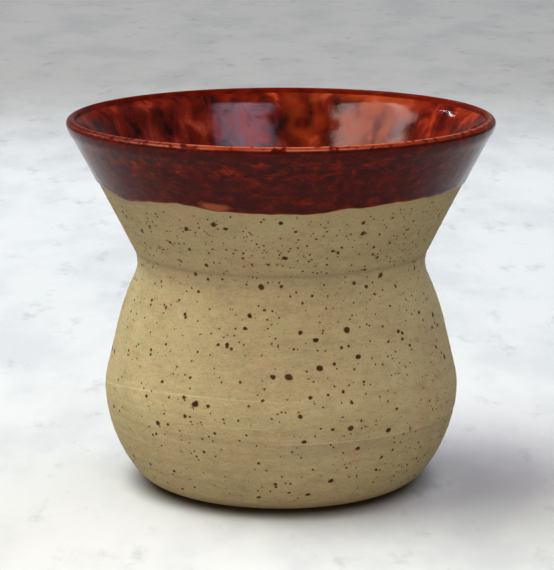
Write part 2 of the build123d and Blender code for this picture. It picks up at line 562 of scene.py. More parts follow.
def clay_marks(angle, height):
    """How far the outside clay is pushed in, in mm."""
    rings = np.sin(2 * pi * height / RING_PITCH + angle) + 0.6 * np.sin(2 * pi * height / 1.37 - 2 * angle)
    rings *= RING_DEPTH * ease(height, 6, 14) * (1 - ease(height, 78, 82))
    trimmed = STEP_DEPTH * (1 - ease(height, step_height(angle) - 0.6, step_height(angle) + 0.2))
    trimmed *= ease(height, 5, 14) * (0.3 + 0.7 * ease(np.cos(angle - 0.58), -0.4, 0.7))
    smeared = 0.72 + 0.28 * np.sin(2 * angle + 0.6) * np.sin(5 * angle)
    crease = CREASE_DEPTH * smeared * np.exp(-((height - seam.y) / CREASE_WIDTH) ** 2)
    return rings + trimmed + crease + CHIP_DEPTH * chip_share(angle, height)


print("trimming step is", round(float(step_height(0.0)), 1), "mm up at the front")

# %% Move a piece's points
LINING_WAVE = 0.03              # the glaze ran down the cone in soft waves
LIP_THINNING = 0.85             # the wall was pressed thinner from inside, just below the lip
THINNING_REACH = 4.2
# Height and width of the painted shade that darkens the clay along the waist crease, in mm
CREASE_TONE = seam.y + 0.25
CREASE_TONE_WIDTH = 0.75


def make_uneven(piece, marks=False, dents=False, waves=False):
    """Applies the pot's oval, dip, rings and marks to a mesh."""
    x, y, z = read_places(piece)
    radius = np.hypot(x, y)
    angle = np.arctan2(x, -y)
    held_in = ease(z, 75, 98)       # at the lip the pot is only ever pushed in, so it stays within its measured size
    inwards = OVAL / 2 * (held_in - np.cos(2 * angle + OVAL_TURN)) * z / OVERALL_HEIGHT
    inwards -= THREE_SIDED / 2 * np.cos(3 * angle + THREE_SIDED_TURN) * np.sin(pi * z / OVERALL_HEIGHT)
    if marks:
        outside = radius > np.interp(z, outside_heights, outside_radii) - 0.9
        inwards += np.where(outside & (z > 1) & (z < GLAZE_EDGE), clay_marks(angle, z), 0)
        # the crease value is painted shade, darkening the clay in a band along the crease
        crease_shade = np.where(outside, np.exp(-((z - CREASE_TONE) / CREASE_TONE_WIDTH) ** 2), 0)
        write_value(piece, "crease", crease_shade)
        write_value(piece, "scar", np.where(outside, chip_share(angle, z), 0))
    if dents:
        inwards += 0.35 * np.sin(13 * angle) * np.sin(29 * angle + 1)
    if waves:
        inwards += LINING_WAVE * np.sin(2 * pi * z / 5.3 + 2 * angle) * np.sin(7 * angle + 1.4)
        inwards += LINING_WAVE * np.sin(2 * pi * z / 8.7 - 3 * angle) * ease(z, 30, 50)
    below_lip = (lip_centre.x - radius) * up_wall.x + (lip_centre.y - z) * up_wall.y
    round_lip = np.degrees(np.arctan2(z - lip_centre.y, radius - lip_centre.x)) % 360
    inner_side = ease(round_lip, 95, 150) * (round_lip < 240)
    pressed = LIP_THINNING * (1 - np.clip(below_lip / THINNING_REACH, 0, 1)) ** 2 * inner_side
    inwards -= pressed * into_wall.x
    dip = RIM_DIP / 2 * (1 - np.cos(angle - 1)) * ease(z, 45, 98) - pressed * into_wall.y
    share = (radius - inwards) / radius
    write_places(piece, x * share, y * share, z - dip)
    print(piece.name, "moved by up to", round(float(np.abs(inwards).max()), 2), "mm")


# %% [markdown]
# ## The wavy dip line
# The lip was dipped by hand, so the band's lower edge wanders. The band's points slide along the wall by
# what the edge does at their angle, less and less further up. The same edge then says where the glaze is
# thin enough for the iron to break orange: a hairline along the edge, the lip's crest, and one
# bare-looking patch at the front.

# %% Dip line
EDGE_PLACES = [                 # degrees from the front towards +X, and height of the edge there, in mm
    (-180, 82.3), (-150, 82.9), (-122, 81.8), (-95, 82.8), (-71, 83.5), (-55, 81.5), (-42, 82.7),
    (-33, 83.3), (-26, 82.8), (-20, 82.0), (-6, 81.7), (5, 81.5), (12, 81.6), (20, 82.7), (27, 82.5),
    (35, 83.1), (50, 83.0), (73, 83.1), (98, 82.2), (124, 83.0), (148, 81.9), (180, 82.3),
]


def edge_height(angle):
    """Height of the dip line at an angle in radians, softened and slightly ragged."""
    table_angles = np.radians(np.arange(-180, 181, 1.0))
    table = np.interp(np.degrees(table_angles), *zip(*EDGE_PLACES))
    soft = np.convolve(np.concatenate((table[-6:-1], table, table[1:6])), np.ones(5) / 5, mode="same")[5:-5]
    ragged = 0.06 * np.sin(23 * angle + 1) + 0.05 * np.sin(41 * angle) + 0.03 * np.sin(67 * angle + 2)
    return np.interp(angle, table_angles, soft) + ragged


LEAN_AT_EDGE = 0.548            # mm that the wall leans out in each mm of height there


def slide_edge(piece):
    """Slides the band's points along the wall to the dip line."""
    x, y, z = read_places(piece)
    angle = np.arctan2(x, -y)
    rise = (edge_height(angle) - GLAZE_EDGE) * (1 - ease(z, GLAZE_EDGE + 1, GLAZE_EDGE + 10))
    radius = np.hypot(x, y)
    share = (radius + rise * LEAN_AT_EDGE) / radius
    write_places(piece, x * share, y * share, z + rise)
    return angle, z - GLAZE_EDGE, z, radius


# %% Where the glaze is thin, and the painted highlight lines on the lip
THIN_PATCH = (-19.6, 1.25)       # degrees from the front, and mm above the edge
THIN_PATCH_SIZE = (4.6, 1.05)

band_angle, band_rise, band_height, band_radius = slide_edge(dipped_band)
band_degrees = np.degrees(band_angle)
hairline = np.exp(-(np.clip(band_rise, 0, None) / 0.28) ** 2)
around_lip = np.degrees(np.arctan2(band_height - lip_centre.y, band_radius - lip_centre.x))
CREST_SHARES = [
    (-180, 0.15), (-100, 0.12), (-60, 0.15), (-38, 0.35), (-20, 0.85),
    (20, 0.9), (45, 0.6), (75, 0.4), (125, 0.2), (180, 0.15),
]
in_front = np.interp(band_degrees, *zip(*CREST_SHARES))
crest = ease(around_lip, 33, 47) * (1 - ease(around_lip, 100, 135)) * in_front
inner_lip = ease(around_lip, 100, 128)
# Painted highlights: two pale lines along the lip's round, one near its top and one lower down, strongest at
# the front.
LOWER_HIGHLIGHT = [(-180, 0.3), (-60, 1.0), (-30, 1.2), (-13, 0.1), (2, 0.8), (17, 0.7), (33, 0.1), (180, 0.3)]
lower_highlight = np.interp(band_degrees, *zip(*LOWER_HIGHLIGHT))
painted_highlight_lines = np.exp(-((around_lip - 81) / 10) ** 2) + lower_highlight * np.exp(-((around_lip - 42) / 6) ** 2)
painted_highlight_lines *= in_front
above_edge = band_rise - THIN_PATCH[1]
patch = np.exp(-((band_degrees - THIN_PATCH[0]) / THIN_PATCH_SIZE[0]) ** 2
               - (above_edge / THIN_PATCH_SIZE[1]) ** 2)
wedge = 0.55 * ease(band_degrees, -34, -24) * (1 - ease(band_degrees, -18, -15))
patch = np.maximum(patch, wedge * np.exp(-(band_rise / 0.7) ** 2))
for name, values in (("hairline", hairline), ("crest", crest), ("inner_lip", inner_lip),
                     ("painted_highlight_lines", painted_highlight_lines), ("patch", patch)):
    write_value(dipped_band, name, values)
    print(name, "covers", int((values > 0.5).sum()), "points")

x, y, z = read_places(poured_lining)
broad_run = np.exp(-((degrees_round(x, y) - 148) / 13) ** 4) * ease(z, 78, 90)
narrow_run = 0.7 * np.exp(-((degrees_round(x, y) - 172) / 6) ** 2) * ease(z, 80, 92)
write_value(poured_lining, "thin_run", np.maximum(broad_run, narrow_run))

x, y, z = read_places(paper_ribs)
off_seat = ((z - cone_apex) * wall_slope - np.hypot(x, y)) * cos(radians(HALF_ANGLE))
rib_crest = 0.75 * ease(off_seat, 0.7 * RIB_DEPTH, RIB_DEPTH)
write_value(paper_ribs, "thin_run", rib_crest)
print("glaze runs thin over", int((rib_crest > 0.4).sum()), "points of the ribs")

make_uneven(thrown_stand, marks=True)
make_uneven(thrown_cone, marks=True)
make_uneven(joint_coil, dents=True)
make_uneven(paper_ribs)
make_uneven(poured_lining, waves=True)
make_uneven(dipped_band)

# %% [markdown]
# ## Iron specks
# Grains of iron in the clay melt and bleed to the surface as dark drops with a rusty edge. The fine ones
# are painted by the clay's material further down. The large ones have a shape of their own, so each is a
# small domed disc that is wrapped onto the wall. One disc is made and copied. A value called iron
# says how much melt there is: none at the disc's edge, where it must vanish into the clay, and all of it
# in the middle.

# %% One speck
DISC_CORNERS = 14
deselect()
bpy.ops.mesh.primitive_circle_add(vertices=DISC_CORNERS, radius=1.0, fill_type="NGON")
speck = bpy.context.object
speck.name = "iron_specks"
edit_all()
for ring_step in (0.22, 0.18, 0.25):
    bpy.ops.mesh.inset(thickness=ring_step)
bpy.ops.mesh.poke()
leave_edit()
speck_points = np.array([tuple(vertex.co) for vertex in speck.data.vertices])
speck_reach = np.hypot(speck_points[:, 0], speck_points[:, 1])
speck_iron = 1 - ease(speck_reach, 0.55, 0.98)
write_value(speck, "iron", speck_iron)
print("a speck has", len(speck.data.polygons), "faces")

# %% Landmark specks
# The largest specks at the front tell the pot apart, so these are placed one by one, to the whole
# millimetre: mm to the right of the middle, mm up, and mm across.
LANDMARKS = [
    (-36, 73, 1.3), (-24, 76, 1.3), (-17, 78, 1.4), (-14, 77, 1.2), (0, 79, 1.2), (21, 78, 1.1),
    (21, 75, 1.3),
    (-22, 63, 1.1), (-19, 66, 1.2), (-5, 61, 1.5), (1, 69, 1.4), (19, 61, 1.1), (26, 62, 1.4),
    (-8, 54, 1.2), (5, 50, 1.2), (9, 48, 1.3), (17, 50, 1.7),
    (-22, 31, 1.8), (-2, 39, 1.3), (2, 39, 1.7), (10, 41, 1.6), (20, 43, 1.4), (5, 29, 1.2),
    (-32, 24, 1.4), (6, 22, 1.3), (18, 25, 1.5), (20, 19, 1.2), (28, 23, 1.4), (13, 10, 1.4), (7, 6, 1.2),
]
landmark_specks = []
for across, height, width in LANDMARKS:
    wall_radius = np.interp(height, outside_heights, outside_radii)
    landmark_specks.append((degrees(asin(across / wall_radius)), height, width))
print(len(landmark_specks), "specks placed one by one")

# %% Specks over the rest of the pot
# All the others fall where chance puts them. Those of middle size keep clear of the landmarks.
MM_PER_DEGREE = 0.8             # along the wall
CLEAR_OF_LANDMARK = 3.0         # mm
MIDDLE_COUNT = 205
FAR_COUNT = 330
SMALL_COUNT = 440
SMALL_ABOVE_WAIST = 200
chance = np.random.default_rng(23)
middle_specks = []
while len(middle_specks) < MIDDLE_COUNT:
    speck_angle = chance.uniform(-72, 70)
    speck_height = chance.uniform(4, 81)
    speck_width = 0.6 + 0.5 * chance.random() ** 1.4
    gaps = [hypot((speck_angle - angle) * MM_PER_DEGREE, speck_height - height)
            for angle, height, _ in landmark_specks]
    if min(gaps) > CLEAR_OF_LANDMARK:
        middle_specks.append((speck_angle, speck_height, speck_width))
far_specks = []
while len(far_specks) < FAR_COUNT:
    speck_angle = chance.uniform(68, 292)
    speck_height = chance.uniform(4, 80.5)
    speck_width = 0.6 + 1.2 * chance.random() ** 2.4
    far_specks.append((speck_angle, speck_height, speck_width))
small_specks = []
while len(small_specks) < SMALL_COUNT:
    small_specks.append((chance.uniform(-70, 70), chance.uniform(4, 80.5), 0.38 + 0.3 * chance.random()))
while len(small_specks) < SMALL_COUNT + SMALL_ABOVE_WAIST:
    small_specks.append((chance.uniform(-66, 66), chance.uniform(62, 81), 0.38 + 0.34 * chance.random()))
all_specks = landmark_specks + middle_specks + far_specks + small_specks
print(len(all_specks), "specks in all")

# %% Copy the speck onto the wall
DISC_OVER_CORE = 1.03           # the disc is wider than its dark core, and most so on the large ones
LUMPINESS = 0.11
LONGEST_STRETCH = 0.16
SWAY = 0.5
LAID_OFF_WALL = 0.6             # mm, taken up when the discs are wrapped


def lay_speck(angle, height, width):
    """A copy of the speck, irregular, laid on the outside wall."""
    lump = 1 + LUMPINESS * chance.standard_normal(DISC_CORNERS)
    around = np.arctan2(speck_points[:, 1], speck_points[:, 0]) / (2 * pi) * DISC_CORNERS
    uneven = np.interp(around % DISC_CORNERS, np.arange(DISC_CORNERS + 1), np.append(lump, lump[0]))
    stretch = 1 + LONGEST_STRETCH * chance.random()
    sway = chance.normal(0, SWAY)
    flat = speck_points[:, :2] * uneven[:, None] * (stretch, 1 / stretch)
    turned = np.stack((flat[:, 0] * cos(sway) - flat[:, 1] * sin(sway),
                       flat[:, 0] * sin(sway) + flat[:, 1] * cos(sway)), axis=1)
    turned *= width / 2 * (DISC_OVER_CORE + 0.15 * width)
    radius = np.interp(height, outside_heights, outside_radii)
    lean = np.interp(height + 0.5, outside_heights, outside_radii) - np.interp(
        height - 0.5, outside_heights, outside_radii)
    up = turned[:, 1] / hypot(1, lean)
    out = radius + up * lean + LAID_OFF_WALL
    bearing = radians(angle) + turned[:, 0] / radius
    copy = speck.copy()
    copy.data = speck.data.copy()
    write_places(copy, out * np.sin(bearing), -out * np.cos(bearing), height + up)
    write_value(copy, "iron", speck_iron * min(1, 0.36 + 0.5 * width) * chance.uniform(0.82, 1))
    bpy.context.collection.objects.link(copy)
    return copy


laid = [lay_speck(*place) for place in all_specks]
bpy.data.objects.remove(speck)
iron_specks = laid[0]
select_only(*laid)
bpy.ops.object.join()
iron_specks.name = "iron_specks"
print("specks joined:", len(iron_specks.data.polygons), "faces")

# %% Wrap the specks onto both halves
clay_halves = []
for half in (thrown_stand, thrown_cone):
    select_only(half)
    bpy.ops.object.duplicate(linked=False)
    clay_halves.insert(0, bpy.context.object)
select_only(*clay_halves)
bpy.ops.object.join()
wrap_target = bpy.context.object

select_only(iron_specks)
wrap = iron_specks.modifiers.new("wrap", "SHRINKWRAP")
wrap.target = wrap_target
wrap.wrap_method = "NEAREST_SURFACEPOINT"
wrap.wrap_mode = "ABOVE_SURFACE"
wrap.offset = 0.012 * MM
bpy.ops.object.modifier_apply(modifier="wrap")
bpy.data.objects.remove(wrap_target)
edit_all()
bpy.ops.mesh.normals_make_consistent(inside=False)
leave_edit()
print("specks wrapped:", round(iron_specks.dimensions.z / MM, 1), "mm from the lowest to the highest")

# %% Dome the specks and face them outwards
DOME = 0.035                    # mm
iron = np.empty(len(iron_specks.data.vertices), dtype=np.float32)
iron_specks.data.attributes["iron"].data.foreach_get("value", iron)
x, y, z = read_places(iron_specks)
swell = 1 + iron * DOME / np.hypot(x, y)
write_places(iron_specks, x * swell, y * swell, z)
turned_in = 0
for face in iron_specks.data.polygons:
    face.select = face.normal.x * face.center.x + face.normal.y * face.center.y < 0
    turned_in += face.select
bpy.ops.object.mode_set(mode="EDIT")
bpy.ops.mesh.select_mode(type="FACE")
bpy.ops.mesh.flip_normals()
bpy.ops.mesh.select_mode(type="VERT")
leave_edit()
bpy.ops.object.shade_smooth()
print(turned_in, "faces turned outwards")

# %% [markdown]
# ## Materials: helpers
# The finishes are built from nodes. Small helpers keep that readable: each adds one kind of node, joins
# its inputs and hands back what comes out. Colours are written as they look, and converted to linear
# light.

# %% Node helpers
def seen_colour(red, green, blue):
    """A colour as it looks on a screen, 0 to 255, as linear light for a node."""
    parts = [value / 255 for value in (red, green, blue)]
    linear = [value / 12.92 if value <= 0.04045 else ((value + 0.055) / 1.055) ** 2.4 for value in parts]
    return (*linear, 1.0)


def put(tree, source, target):
    """Joins an output to an input, or writes a plain value into it."""
    if isinstance(source, bpy.types.NodeSocket):
        tree.links.new(source, target)
    else:
        target.default_value = source


def add(tree, kind, title, *sources, **settings):
    """Adds a node with a title and its plain settings, and fills its first inputs from the sources."""
    made = tree.nodes.new(kind)
    made.label = title
    for name, value in settings.items():
        setattr(made, name, value)
    for source, target in zip(sources, made.inputs):
        put(tree, source, target)
    return made


def fill(tree, made, **values):
    """Fills a node's inputs by name and gives its outputs. Underscores stand for spaces."""
    for name, value in values.items():
        put(tree, value, made.inputs[name.replace("_", " ")])
    return made.outputs


def sum_of(tree, title, operation, first, second=0.0, third=0.0):
    """A Math node and its inputs."""
    return add(tree, "ShaderNodeMath", title, first, second, third, operation=operation).outputs[0]


def product_of(tree, title, *factors):
    """All the factors multiplied."""
    product = factors[0]
    for factor in factors[1:]:
        product = sum_of(tree, title, "MULTIPLY", product, factor)
    return product


def mask_of(tree, title, value, start, end):
    """0 before start and 1 after end, with a soft passage. Start may be above end."""
    made = add(tree, "ShaderNodeMapRange", title, interpolation_type="SMOOTHSTEP")
    return fill(tree, made, Value=value, From_Min=start, From_Max=end)["Result"]


def mix_of(tree, title, share, first, second, blend="MIX"):
    """A colour mix and its inputs."""
    made = add(tree, "ShaderNodeMix", title, data_type="RGBA", blend_type=blend)
    return fill(tree, made, Factor=share, A=first, B=second)["Result"]


def tint(tree, title, colour, tone, value, start, end, strength=1.0, blend="MIX"):
    """Lays a tone over a colour as a value passes from start to end, and never more than the strength."""
    share = mask_of(tree, title + ": where", value, start, end)
    if strength < 1:
        share = product_of(tree, title + ": how much", share, strength)
    return mix_of(tree, title, share, colour, tone, blend)


def noise_of(tree, title, vector, scale, detail=2.0, roughness=0.5, distortion=0.0):
    """A noise between 0 and 1 on a vector."""
    made = add(tree, "ShaderNodeTexNoise", title, vector)
    return fill(tree, made, Scale=scale, Detail=detail, Roughness=roughness, Distortion=distortion)["Fac"]


def parts_of(tree, title, vector):
    """The X, Y and Z of a vector."""
    return add(tree, "ShaderNodeSeparateXYZ", title, vector).outputs


def stored_value(tree, title, name):
    """A value that is stored at the piece's points."""
    return add(tree, "ShaderNodeAttribute", title, attribute_name=name).outputs["Fac"]


def bump_of(tree, title, height, strength, distance):
    """A bump whose distance is in metres."""
    made = add(tree, "ShaderNodeBump", title)
    return fill(tree, made, Height=height, Strength=strength, Distance=distance)["Normal"]


def new_group(title, outputs, **inputs):
    """An empty group that works on a Vector. Its other inputs are values, given with their defaults."""
    tree = bpy.data.node_groups.new(title, "ShaderNodeTree")
    tree.interface.new_socket("Vector", in_out="INPUT", socket_type="NodeSocketVector")
    for name, default in inputs.items():
        spaced = name.replace("_", " ")
        socket = tree.interface.new_socket(spaced, in_out="INPUT", socket_type="NodeSocketFloat")
        socket.default_value = default
    for name in outputs:
        tree.interface.new_socket(name, in_out="OUTPUT", socket_type="NodeSocketFloat")
    return tree, add(tree, "NodeGroupInput", "In").outputs, add(tree, "NodeGroupOutput", "Out").inputs


def use_group(tree, group, title, **values):
    """Places a group in a material and gives it its values."""
    made = add(tree, "ShaderNodeGroup", title)
    made.node_tree = group
    return fill(tree, made, **values)


def new_material(title):
    """A material with its Principled shader and object coordinates."""
    material = bpy.data.materials.new(title)
    material.use_nodes = True
    tree = material.node_tree
    tree.nodes.clear()
    shader = add(tree, "ShaderNodeBsdfPrincipled", title)
    add(tree, "ShaderNodeOutputMaterial", "Surface", shader.outputs[0])
    place = add(tree, "ShaderNodeTexCoord", "Place on the pot").outputs["Object"]
    return material, tree, shader.inputs, place


def arrange(tree):
    """Sets each node one column to the right of the nodes that feed it."""
    columns = {}
    for _ in range(3):          # the shader and the output come first in the list, so they settle last
        rows = {}
        for node in tree.nodes:
            feeding = [link.from_node.name for socket in node.inputs for link in socket.links]
            column = 1 + max([columns.get(name, 0) for name in feeding], default=-1)
            columns[node.name] = column
            rows[column] = rows.get(column, 0) + 1
            node.location = (column * 200, -rows[column] * 180)


print("helpers ready")

# %% [markdown]
# ## Specks as a group
# Both the clay and the glaze show iron, as small dark dots of mixed size at random places. Voronoi cells
# give one place per cell. A random value per cell decides whether there is a speck and how large it is,
# and a little noise on the coordinates makes the dots irregular. It is a group, because four layers with
# their own values use it.

# %% Speck group
EDGE_NOISE = 1800.0             # per metre
SHAKE_BY_RADIUS = 0.9
SIZE_RANGE = 0.75               # the smallest radius is what is left to 1

speck_group, given, result = new_group(
    "Iron specks", ["Mask"], Spacing=0.003, Radius=0.0003, Share=0.5, Softness=0.5)
tree = speck_group
shake = add(tree, "ShaderNodeTexNoise", "Ragged edges", given["Vector"])
shake = fill(tree, shake, Scale=EDGE_NOISE, Detail=1.0)["Color"]
centred = add(tree, "ShaderNodeVectorMath", "Centre the noise", shake, (0.5, 0.5, 0.5), operation="SUBTRACT")
gentle = add(tree, "ShaderNodeVectorMath", "Gentle", centred.outputs[0], operation="SCALE")
gentle = fill(tree, gentle, Scale=product_of(tree, "By radius", given["Radius"], SHAKE_BY_RADIUS))[0]
ragged = add(tree, "ShaderNodeVectorMath", "Ragged place", given["Vector"], gentle, operation="ADD")
cells = add(tree, "ShaderNodeTexVoronoi", "One place per cell", ragged.outputs[0])
cells = fill(tree, cells, Scale=sum_of(tree, "Cells per metre", "DIVIDE", 1.0, given["Spacing"]))
luck = add(tree, "ShaderNodeSeparateColor", "Luck of the cell", cells["Color"]).outputs
present = sum_of(tree, "Is there a speck", "LESS_THAN", luck["Red"], given["Share"])
reach = product_of(tree, "Distance in metres", cells["Distance"], given["Spacing"])
mixed = sum_of(tree, "Mixed sizes", "MULTIPLY_ADD", luck["Green"], SIZE_RANGE, 1 - SIZE_RANGE)
size = product_of(tree, "Radius of this one", mixed, given["Radius"])
dot = mask_of(tree, "Dot", reach, size, product_of(tree, "Where it fades", size, given["Softness"]))
put(tree, product_of(tree, "Speck", dot, present), result["Mask"])


def specks_of(tree, title, place, spacing, radius, share, softness):
    """A layer of specks in a material."""
    return use_group(tree, speck_group, title, Vector=place, Spacing=spacing, Radius=radius, Share=share,
                     Softness=softness)["Mask"]


print("speck group has", len(tree.nodes), "nodes")

# %% [markdown]
# ## Turning lines as a group
# Fingers, ribs and sponge leave fine level lines in the clay. Noise that is squeezed in height gives
# broken level streaks, because it changes quickly going up the wall and slowly going round it.

# %% Turning-line group
def stretched(tree, given, operation="MULTIPLY", *shift):
    """The group's place, scaled one way round the pot and another way up."""
    stretch = add(tree, "ShaderNodeCombineXYZ", "Round and up", given["Around"], given["Around"], given["Up"])
    return add(tree, "ShaderNodeVectorMath", "Stretched place", given["Vector"], stretch.outputs[0], *shift,
               operation=operation).outputs[0]


lines_group, given, result = new_group("Turning lines", ["Lines"], Around=60.0, Up=1500.0)
tree = lines_group
streaks = noise_of(tree, "Broken streaks", stretched(tree, given), 1.0, detail=3.0, roughness=0.6)
put(tree, streaks, result["Lines"])
print("turning-line group has", len(tree.nodes), "nodes")

# %% [markdown]
# ## Scored line as a group
# A tool that rests on the turning wall scores one line all round it, and that line lies in a plane, which
# is tilted if the tool was. The distance from a tilted plane, cut to a stretch of the pot, gives such a
# line anywhere.

# %% Scored-line group
score_group, given, result = new_group(
    "Scored line", ["Line", "Above"], Height=0.03, Tilt_X=0.0, Tilt_Y=0.0, Width=0.0002)
tree = score_group
axes = parts_of(tree, "Place", given["Vector"])
lift_x = product_of(tree, "Tilt along X", axes["X"], given["Tilt X"])
lift_y = product_of(tree, "Tilt along Y", axes["Y"], given["Tilt Y"])
plane = sum_of(tree, "Both tilts", "ADD", lift_x, lift_y)
plane = sum_of(tree, "Plane", "ADD", plane, given["Height"])
above = sum_of(tree, "Above the plane", "SUBTRACT", axes["Z"], plane)
near = sum_of(tree, "Distance", "ABSOLUTE", above)
put(tree, mask_of(tree, "Thin line", near, given["Width"], 0.0), result["Line"])
put(tree, above, result["Above"])
print("scored-line group has", len(tree.nodes), "nodes")

# %% [markdown]
# ## Speckled stoneware
# The bare clay is a dry khaki body. Its colour drifts in soft clouds, level lines run through it, sand
# gives it a fine grain, and iron shows from pinpricks to the large drops modelled above. The surface is
# matt, with grain and lines as shallow bumps. One material serves both halves, the coil and the large
# specks, so they meet unseen. Each layer is one row: its tone, the value it follows, from where to where,
# and how strong it is at most.

# %% Stoneware colour
CLAY = seen_colour(193, 175, 125)
CLAY_PALE = seen_colour(208, 191, 141)
CLAY_GREY = seen_colour(156, 139, 105)
SAND_PALE = seen_colour(208, 190, 142)
CLAY_PINK = seen_colour(197, 170, 125)
RUST = seen_colour(118, 78, 38)
IRON = seen_colour(46, 31, 22)

stoneware, tree, stoneware_shader, place = new_material("speckled_stoneware")
clouds = noise_of(tree, "Soft clouds", place, 55.0, detail=3.0, roughness=0.55)
blush = noise_of(tree, "Warm blush", place, 90.0, detail=4.0, roughness=0.6)
lines, broad, sand, smears = [
    use_group(tree, lines_group, title, Vector=place, Around=around, Up=up)["Lines"]
    for title, around, up in (("Fine lines", 50.0, 1700.0), ("Broad bands", 9.0, 260.0),
                              ("Smeared sand", 1300.0, 2800.0), ("Sponge smears", 260.0, 620.0))
]
body = CLAY
for title, tone, value, start, end, strength in (
    ("Pale clouds", CLAY_PALE, clouds, 0.45, 0.85, 1.0),
    ("Grey clouds", CLAY_GREY, clouds, 0.5, 0.2, 0.4),
    ("Blushed", CLAY_PINK, blush, 0.45, 0.75, 1.0),
    ("Pale lines", CLAY_PALE, lines, 0.62, 0.9, 1.0),
    ("Dark lines", CLAY_GREY, lines, 0.42, 0.15, 0.4),
    ("Broad bands", CLAY_GREY, broad, 0.5, 0.75, 0.25),
    ("Dark sand", CLAY_GREY, sand, 0.52, 0.3, 0.5),
    ("Pale sand", SAND_PALE, sand, 0.5, 0.7, 0.48),
    ("Pale smears", CLAY_PALE, smears, 0.5, 0.7, 0.48),
    ("Grey smears", CLAY_GREY, smears, 0.48, 0.26, 0.4),
):
    body = tint(tree, title, body, tone, value, start, end, strength)
print("clay and sand:", len(tree.nodes), "nodes")

# %% Score marks in the stoneware
PALE_SCORE = seen_colour(220, 206, 158)
side = parts_of(tree, "Sides of the pot", place)
at_front = mask_of(tree, "Front half", side["Y"], 0.0, -0.006)
broken = sum_of(tree, "Mostly", "MAXIMUM", mask_of(tree, "Broken", lines, 0.35, 0.55), 0.3)

# Each row is a line's strength, its start, end and fade along X in metres, and the plane it lies in.
for title, strength, start, end, fade, plane in (
    ("Score on the belly", 0.68, -0.050, -0.006, 0.010,
     dict(Height=0.02397, Tilt_X=-0.065, Tilt_Y=-0.177, Width=0.00027)),
    ("Line on the lower belly", 0.38, -0.030, -0.006, 0.006, dict(Height=0.0256, Width=0.00028)),
    ("Short slanting scratch", 0.5, -0.0045, 0.0040, 0.0015, dict(Height=0.0311, Tilt_X=0.36, Width=0.00022)),
    ("Lip of the trimming step", 0.45, 0.001, 0.034, 0.006, dict(Height=0.0214, Tilt_X=0.006, Width=0.0003)),
):
    line = use_group(tree, score_group, title, Vector=place, **plane)["Line"]
    begun = mask_of(tree, "Begins", side["X"], start - fade, start)
    ended = mask_of(tree, "Ends", side["X"], end + fade, end)
    shown = product_of(tree, title, begun, ended, at_front, line, broken, strength)
    body = mix_of(tree, title, shown, body, PALE_SCORE)

# The clay is darker below the trimming step on the front right, fading downwards.
trim_edge = use_group(tree, score_group, "Trimming step", Vector=place, Height=0.02115)["Above"]
turned = mask_of(tree, "Below the step", trim_edge, 0.00008, -0.00012)
fades_down = mask_of(tree, "Fades down", trim_edge, -0.0065, -0.0005)
at_right = mask_of(tree, "Right", side["X"], -0.004, 0.008)
turned = product_of(tree, "Darker below the step", turned, fades_down, at_right, at_front, 0.28)
body = mix_of(tree, "Darker below the step", turned, body, CLAY_GREY)
print("with its score marks:", len(tree.nodes), "nodes")

# %% Painted shade on the collar and in the crease, the scar and specks in the stoneware
# Painted shade: the clay turns greyer from the waist up over the collar, which faces down.
body = tint(tree, "Painted shade on the collar", body, CLAY_GREY, side["Z"], 0.057, 0.064, 0.28)
# Painted shade: the crease value darkens the clay along the waist crease.
crease = product_of(tree, "Soft", stored_value(tree, "Painted shade in the crease", "crease"), 0.55)
body = mix_of(tree, "Painted crease shade", crease, body, CLAY_GREY)
scar = stored_value(tree, "Scar of the flake", "scar")
body = tint(tree, "Warm edge of the scar", body, seen_colour(178, 138, 84), scar, 0.25, 0.5, 0.6)
body = tint(tree, "Fresh clay in the scar", body, seen_colour(216, 196, 138), scar, 0.5, 0.75, 0.8)
pinpricks = specks_of(tree, "Pinpricks", place, 0.0015, 0.0003, 0.95, 0.1)
dots = specks_of(tree, "Small dots", place, 0.0022, 0.00037, 0.5, 0.2)
rusty = specks_of(tree, "Rusty smudges", place, 0.0045, 0.0007, 0.5, 0.0)
for title, tone, mask, strength in (
    ("Rusty smudges", RUST, rusty, 0.35),
    ("Pinpricks", RUST, pinpricks, 0.7),
    ("Small dots", IRON, dots, 0.75),
):
    body = mix_of(tree, title, product_of(tree, "Part", mask, strength), body, tone)

melt = stored_value(tree, "Iron in the large specks", "iron")
heart_of_speck = mask_of(tree, "Dark heart", melt, 0.5, 1.0)
body = tint(tree, "Rusty rims", body, RUST, melt, 0.0, 0.5)
body = mix_of(tree, "Dark hearts", heart_of_speck, body, IRON)
put(tree, body, stoneware_shader["Base Color"])
print("with its iron:", len(tree.nodes), "nodes")

# %% Roughness and grain of the stoneware
GRAIN_HEIGHT = 0.00005
iron_shine = sum_of(tree, "All iron", "MAXIMUM", dots, heart_of_speck)
dry = mask_of(tree, "Uneven dryness", clouds, 0.2, 0.8)
matt = sum_of(tree, "Matt", "MULTIPLY_ADD", dry, 0.10, 0.80)
matt = sum_of(tree, "Iron is smoother", "MULTIPLY_ADD", iron_shine, -0.3, matt)
put(tree, matt, stoneware_shader["Roughness"])
relief = sum_of(tree, "Sand relief", "MULTIPLY_ADD", sand, 0.5, 0.0)
relief = sum_of(tree, "And lines", "MULTIPLY_ADD", lines, 0.8, relief)
relief = sum_of(tree, "Pits at the dots", "MULTIPLY_ADD", dots, -0.5, relief)
put(tree, bump_of(tree, "Sand and lines", relief, 0.9, GRAIN_HEIGHT), stoneware_shader["Normal"])
stoneware_shader["Specular IOR Level"].default_value = 0.25
print("stoneware has", len(tree.nodes), "nodes")

# %% [markdown]
# ## Iron-red glaze
# The glaze is a glossy brown-black that turns rust red and orange where it is thinner or where iron
# crystals float up. Two sizes of noise, the larger one bending the smaller, give islands with feathered
# edges. Inside, the glaze ran down the cone, so its patches are taller than wide. Outside, it lies as the
# wheel smoothed it, so they are low. The pattern is a group, and the lining and the band use it with
# their own size, stretch and share of red.

